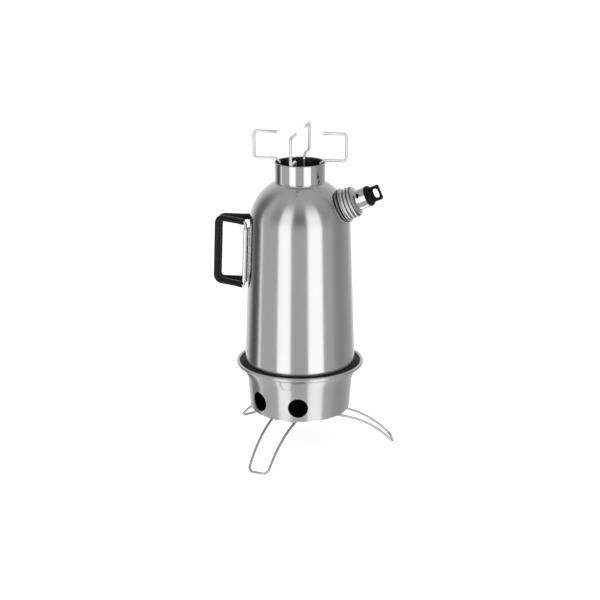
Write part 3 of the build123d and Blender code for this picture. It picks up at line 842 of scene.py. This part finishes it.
def make_plug():
    bore = whistle_radius - whistle_sheet
    rise = plug_top - whistle_top
    bulge = arc_points((whistle_radius, whistle_top), (plug_radius, whistle_top + plug_bulge_share * rise),
                       (bore, plug_top - plug_crown_share * rise), 16)
    foot = whistle_top - plug_depth
    knob = turned("whistle_plug", [(0, foot), (bore, foot), (bore, whistle_top)] + bulge
                  + [(bore + plug_crown[0], plug_top + plug_crown[1]), (tab_width / 2, plug_top), (0, plug_top)],
                  96, spout_place)
    sideways = spout_place @ Matrix(((0, 0, 1, 0), (0, 1, 0, 0), (1, 0, 0, 0), (0, 0, 0, 1)))
    tab = slab("tab", rounded_outline(tab_length, tab_width, tab_corner, tab_centre),
               -tab_thickness / 2, tab_thickness / 2, sideways)
    hole = slab("hole", rounded_outline(tab_hole_length, tab_hole_width, tab_hole_corner, tab_hole_centre),
                -tab_thickness, tab_thickness, sideways)
    pierced(tab, [hole])
    join = knob.modifiers.new("join", "BOOLEAN")
    join.operation = "UNION"
    join.solver = "EXACT"
    join.object = tab
    baked(knob)
    bpy.data.objects.remove(tab)
    skin = knob.modifiers.new("skin", "REMESH")
    skin.mode = "VOXEL"
    skin.voxel_size = plug_voxel / 1000
    soften = knob.modifiers.new("soften", "SMOOTH")
    soften.factor = plug_smoothing
    soften.iterations = plug_smoothings
    return baked(knob, crease=180)


plug_finish = rubber("plug_black_rubber", (0.003, 0.003, 0.003), 0.35, shine=0.1)
dressed(make_plug(), "cap", "whistle_black", plug_finish, "whistle_end_cap")


# ---- Handle bracket ----
# A steel plate welded to the shell, with each side edge rolled into a barrel that the
# ends of a wire loop turn in.

handle_foot_z = 208.0
handle_recess = 11.0
# How dark the painted shade is on barrel faces that face into the recess, and on the plate between the barrels.
recess_shade_level, plate_shade_level = 0.97, 0.4
handle_place = Matrix((
    (-math.cos(shell_taper), 0, math.sin(shell_taper), -shell_radius(handle_foot_z) / 1000),
    (0, -1, 0, 0),
    (math.sin(shell_taper), 0, math.cos(shell_taper), handle_foot_z / 1000),
    (0, 0, 0, 1),
))
handle_bracket_finish = steel("handle_plate_steel", (0.74, 0.74, 0.745), 0.2, grain=0.02, rings=False, smudge=0.02,
                              with_painted_shade=True)
handle_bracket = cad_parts["handle_bracket"]
handle_bracket.data.materials.clear()
handle_bracket.data.materials.append(handle_bracket_finish)
# Painted shade: barrel faces that face into the recess are painted near black, and the plate between the barrels
# partly dark.
recess_shade = handle_bracket.data.attributes.new("painted_shade", "FLOAT", "FACE")
for face in handle_bracket.data.polygons:
    spot = handle_place.inverted() @ handle_bracket.matrix_world @ face.center * 1000
    facing = handle_place.inverted().to_3x3() @ face.normal
    if spot.y * facing.y < 0:
        recess_shade.data[face.index].value = recess_shade_level
    elif abs(spot.y) < handle_recess:
        recess_shade.data[face.index].value = plate_shade_level


# ---- Handle ----
# Two loops of stainless wire that swing in the barrels and meet as one grip, each with a
# black sleeve pushed over its outer part.

barrel_out, barrel_side = 1.9, 14.0
barrel_low, barrel_high = -28.0, 30.0
wire_end_depth = 12.0
loop_top, loop_bottom = 36.5, -31.9
loop_bend = (12.5, 9.0)
loop_grip = (35.7, 3.6)
handle_wire_radius = 1.5
hook_bend, run_bend, grip_bend = 3.2, 12, 6
sleeve_radius = 3.3
sleeve_start = 3.4
sleeve_edge = 0.6

sleeve_finish = rubber("sleeve_black_vinyl", (0.003, 0.003, 0.003), 0.22, grain=0.05, shine=0.24)
for side, name in ((1, "front"), (-1, "rear")):
    barrel = Vector((barrel_out, side * barrel_side))
    bend = Vector((loop_bend[0], side * loop_bend[1]))
    grip = Vector((loop_grip[0], side * loop_grip[1]))
    start = barrel + (bend - barrel).normalized() * sleeve_start
    loop = [(*bend, loop_top), (*grip, loop_top), (*grip, loop_bottom), (*bend, loop_bottom)]
    line = [(*barrel, barrel_high - wire_end_depth), (*barrel, loop_top), *loop, (*barrel, loop_bottom),
            (*barrel, barrel_low + wire_end_depth)]
    bends = [run_bend, grip_bend, grip_bend, run_bend]
    wire = wire_piece(f"handle_loop_{name}", line, [hook_bend, *bends, hook_bend], handle_wire_radius, wire_finish,
                      handle_place)
    dressed(wire, f"handle_{name}", "wire_steel", wire_finish, f"handle_wire_{name}")
    line = [(*start, loop_top), *loop, (*start, loop_bottom)]
    sleeve = wire_piece(f"handle_grip_{name}", line, bends, sleeve_radius, sleeve_finish, handle_place,
                        ease=sleeve_edge, sides=32)
    dressed(sleeve, f"handle_{name}", "sleeve_black", sleeve_finish, f"handle_sleeve_{name}")


# ---- Pot support ----
# Two bent wires that drop into the chimney and cross there. Each has two C shaped arms,
# whose top runs carry the pot and whose lower runs rest over the neck's rim.

support_wire_radius = 1.5
support_turn = 3.6
support_arm = 48.5
support_tip = 24.0
support_arm_height = 28.0
support_drop = 21.7
support_corner = 3.5
support_soft_corner = 2.1
lower_seat, lower_bend, lower_depth = 2.6, 25.7, 30.8
upper_seat, upper_bend, upper_depth = 4.4, 26.6, 27.4
upper_tilt = math.radians(1.4)
upper_tilt_depth = 13.7

support_finish = steel("support_bright_steel", (0.66, 0.66, 0.665), 0.34, grain=0.02, rings=False, smudge=0.02)
upper_middle = Matrix.Translation((0, 0, (neck_mouth_z - upper_tilt_depth) / 1000))
lower_place = Matrix.Rotation(math.radians(support_turn), 4, "Z")
upper_place = Matrix.Rotation(math.radians(support_turn + 90), 4, "Z") @ (
    upper_middle @ Matrix.Rotation(upper_tilt, 4, "Y") @ upper_middle.inverted())
for name, seat, bend, depth, place in (("lower", lower_seat, lower_bend, lower_depth, lower_place),
                                       ("upper", upper_seat, upper_bend, upper_depth, upper_place)):
    seat_z = neck_mouth_z + seat
    top_z = seat_z + support_arm_height
    arm = [(support_tip, top_z), (support_arm, top_z), (support_arm, seat_z), (bend, seat_z),
           (support_drop, seat_z - bend + support_drop), (support_drop, neck_mouth_z - depth)]
    points = [(x, 0, z) for x, z in arm] + [(-x, 0, z) for x, z in reversed(arm)]
    corners = [support_corner, support_corner, support_soft_corner, support_soft_corner, support_corner]
    wire = wire_piece(f"pot_support_{name}", points, corners + corners[::-1], support_wire_radius, support_finish,
                      place)
    dressed(wire, f"support_{name}", "support_steel", support_finish, f"support_wire_{name}")


# ---- Studio ----
# A plain white floor that runs out to a white background, soft lamps, and a pale room with
# two tall bright panels that the steel mirrors as upright bands. The object stands loose on the floor.

floor_reach = 9
floor_tint, floor_seen_tint, floor_glow = 0.8, 0.44, 0.74
room_glow, room_peak = 0.6, 2.5
wall_heights, ceiling_heights = (-0.2, 0.4), (0.42, 0.96)
ceiling_tint = (0.27, 0.27, 0.27, 1)
table_spread, table_blend = 2.0, 0.03
front_turn = math.radians(-75)
front_rise = math.radians(16.885)
camera_aim = Vector((0, 0, 0.16045))
camera_distance = 1.753
camera_sensor, camera_focus_px, picture_px = 36, 1657, 600
lamp_aim = Vector((0, 0, 0.16))

floor_corners = [(-1, -1), (1, -1), (1, 1), (-1, 1)]
floor_mesh = bpy.data.meshes.new("studio_floor")
floor_mesh.from_pydata([(floor_reach * x, floor_reach * y, 0) for x, y in floor_corners], [], [(0, 1, 2, 3)])
floor = bpy.data.objects.new("studio_floor", floor_mesh)
bpy.context.scene.collection.objects.link(floor)
floor.visible_glossy = False
floor_paint = bpy.data.materials.new("studio_floor_white")
floor_paint.use_nodes = True
tree = floor_paint.node_tree
tree.nodes.clear()
out = tree.nodes.new("ShaderNodeOutputMaterial")
pale = tree.nodes.new("ShaderNodeBsdfDiffuse")
pale.inputs["Color"].default_value = (floor_tint, floor_tint, floor_tint, 1)
shown = tree.nodes.new("ShaderNodeBsdfDiffuse")
shown.inputs["Color"].default_value = (floor_seen_tint, floor_seen_tint, floor_seen_tint, 1)
white = tree.nodes.new("ShaderNodeEmission")
white.inputs["Strength"].default_value = floor_glow
both = tree.nodes.new("ShaderNodeAddShader")
seen = tree.nodes.new("ShaderNodeLightPath")
pick = tree.nodes.new("ShaderNodeMixShader")
tree.links.new(shown.outputs[0], both.inputs[0])
tree.links.new(white.outputs[0], both.inputs[1])
tree.links.new(seen.outputs["Is Camera Ray"], pick.inputs[0])
tree.links.new(pale.outputs[0], pick.inputs[1])
tree.links.new(both.outputs[0], pick.inputs[2])
tree.links.new(pick.outputs[0], out.inputs["Surface"])
floor_mesh.materials.append(floor_paint)

world = bpy.data.worlds.new("studio_room")
bpy.context.scene.world = world
world.use_nodes = True
world.cycles.sampling_method = "NONE"
tree = world.node_tree
tree.nodes.clear()
new, link = tree.nodes.new, tree.links.new
out = new("ShaderNodeOutputWorld")
look = new("ShaderNodeTexCoord")


def directed(name, vector, axis):
    """How far a direction points along an axis."""
    along = new("ShaderNodeVectorMath")
    along.operation = "DOT_PRODUCT"
    along.name = name
    along.inputs[1].default_value = axis
    link(vector, along.inputs[0])
    return along.outputs["Value"]


def maths(operation, first, second, *rest):
    """One step of arithmetic on values or sockets."""
    step = new("ShaderNodeMath")
    step.operation = operation
    for index, value in enumerate((first, second, *rest)):
        if isinstance(value, (int, float)):
            step.inputs[index].default_value = value
        else:
            link(value, step.inputs[index])
    return step.outputs[0]


towards = (math.cos(front_turn), math.sin(front_turn), 0)
sideways = (-math.sin(front_turn), math.cos(front_turn), 0)
above = directed("height", look.outputs["Generated"], (0, 0, 1))
ahead = directed("ahead", look.outputs["Generated"], towards)
aside = directed("aside", look.outputs["Generated"], sideways)
turn_above = maths("ARCTAN2", aside, ahead)
# Below the horizon the panels stand on a table, so their mirror images stay as wide as they are
turn_below = maths("MULTIPLY", maths("ARCTAN2", aside, maths("ADD", ahead, math.cos(front_rise))), table_spread)
is_low = new("ShaderNodeMapRange")
is_low.interpolation_type = "SMOOTHSTEP"
is_low.inputs["From Min"].default_value = -math.sin(front_rise) + table_blend
is_low.inputs["From Max"].default_value = -math.sin(front_rise) - table_blend
link(above, is_low.inputs["Value"])
turn = maths("ADD", turn_above, maths("MULTIPLY", is_low.outputs["Result"], maths("SUBTRACT", turn_below, turn_above)))
share = maths("MULTIPLY_ADD", turn, 1 / (2 * math.pi), 0.5)


def band(name, levels):
    """Brightness by direction in degrees, counted from straight in front of the photographed side."""
    room = new("ShaderNodeValToRGB")
    room.name = name
    link(share, room.inputs["Fac"])
    ramp = room.color_ramp.elements
    while len(ramp) > 1:
        ramp.remove(ramp[-1])
    for index, (turn, level) in enumerate(levels):
        stop = ramp[0] if index == 0 else ramp.new((turn + 180) / 360)
        stop.position = (turn + 180) / 360
        stop.color = (level / room_peak, level / room_peak, level / room_peak, 1)
    return room.outputs["Color"]


low_room = band("room below", [
    (-180, 1.0), (-152, 1.0), (-141, 0.84), (-131, 0.42), (-122, 0.16), (-110, 0.14), (-103, 0.3), (-99, 0.7),
    (-97, 1.4), (-93, 1.4), (-90, 0.75), (-50.5, 0.74), (-47, 2.05), (-22, 2.1), (-18.5, 0.70), (15.5, 0.70),
    (19, 2.1), (49, 2.1), (52, 0.72), (70, 0.72), (84, 0.5), (98, 0.44), (125, 0.56), (140, 0.66), (155, 0.9),
    (179, 1.0)])
high_room = band("room above", [
    (-180, 1.0), (-150, 0.9), (-134, 0.6), (-124, 0.3), (-105, 0.24), (-98, 0.6), (-85, 0.78), (-66, 0.46),
    (-50, 0.5), (-43, 1.7), (-22, 1.7), (-15, 0.32), (12, 0.32), (20, 1.8), (46, 1.8), (53, 0.5), (85, 0.55),
    (100, 0.32), (112, 0.55), (150, 0.8), (179, 1.0)])


def over(low, high, lower, upper):
    """Goes from one look of the room to another between two heights."""
    climb = new("ShaderNodeMapRange")
    climb.interpolation_type = "SMOOTHSTEP"
    climb.inputs["From Min"].default_value = lower
    climb.inputs["From Max"].default_value = upper
    link(above, climb.inputs["Value"])
    mix = new("ShaderNodeMix")
    mix.data_type = "RGBA"
    link(climb.outputs["Result"], mix.inputs["Factor"])
    link(low, mix.inputs["A"])
    if isinstance(high, tuple):
        mix.inputs["B"].default_value = high
    else:
        link(high, mix.inputs["B"])
    return mix.outputs["Result"]


walls = over(low_room, high_room, *wall_heights)
room_light = over(walls, ceiling_tint, *ceiling_heights)
mirrored = new("ShaderNodeBackground")
mirrored.inputs["Strength"].default_value = room_peak
link(room_light, mirrored.inputs["Color"])
plain = new("ShaderNodeBackground")
plain.inputs["Color"].default_value = (1, 1, 1, 1)
plain.inputs["Strength"].default_value = room_glow
backdrop = new("ShaderNodeBackground")
backdrop.inputs["Color"].default_value = (1, 1, 1, 1)
backdrop.inputs["Strength"].default_value = 1.0
path = new("ShaderNodeLightPath")
shiny = new("ShaderNodeMath")
shiny.operation = "MAXIMUM"
link(path.outputs["Is Glossy Ray"], shiny.inputs[0])
link(path.outputs["Is Transmission Ray"], shiny.inputs[1])
pick_shiny = new("ShaderNodeMixShader")
link(shiny.outputs[0], pick_shiny.inputs[0])
link(plain.outputs[0], pick_shiny.inputs[1])
link(mirrored.outputs[0], pick_shiny.inputs[2])
pick_seen = new("ShaderNodeMixShader")
link(path.outputs["Is Camera Ray"], pick_seen.inputs[0])
link(pick_shiny.outputs[0], pick_seen.inputs[1])
link(backdrop.outputs[0], pick_seen.inputs[2])
link(pick_seen.outputs[0], out.inputs["Surface"])

for name, place, size, power in (
    ("softbox_top", (0.1, -0.2, 1.7), 1.3, 13.0),
    ("softbox_left", (-1.1, -1.1, 1.0), 0.8, 5.0),
    ("softbox_right", (1.3, -0.9, 1.0), 0.8, 5.0),
):
    lamp = bpy.data.lights.new(name, "AREA")
    lamp.shape = "SQUARE"
    lamp.size = size
    lamp.energy = power
    stand = bpy.data.objects.new(name, lamp)
    stand.location = place
    stand.rotation_mode = "QUATERNION"
    stand.rotation_quaternion = (lamp_aim - Vector(place)).to_track_quat("-Z", "Y")
    stand.visible_glossy = False
    stand.visible_camera = False
    bpy.context.scene.collection.objects.link(stand)

camera_away = Vector((math.cos(front_rise) * math.cos(front_turn), math.cos(front_rise) * math.sin(front_turn),
                      math.sin(front_rise)))
camera = bpy.data.objects.new("photo_camera", bpy.data.cameras.new("photo_camera"))
camera.data.sensor_width = camera_sensor
camera.data.lens = camera_sensor * camera_focus_px / picture_px
camera.location = camera_aim + camera_away * camera_distance
camera.rotation_mode = "QUATERNION"
camera.rotation_quaternion = (-camera_away).to_track_quat("-Z", "Y")
bpy.context.scene.collection.objects.link(camera)
bpy.context.scene.camera = camera
bpy.context.scene.view_settings.view_transform = "Standard"
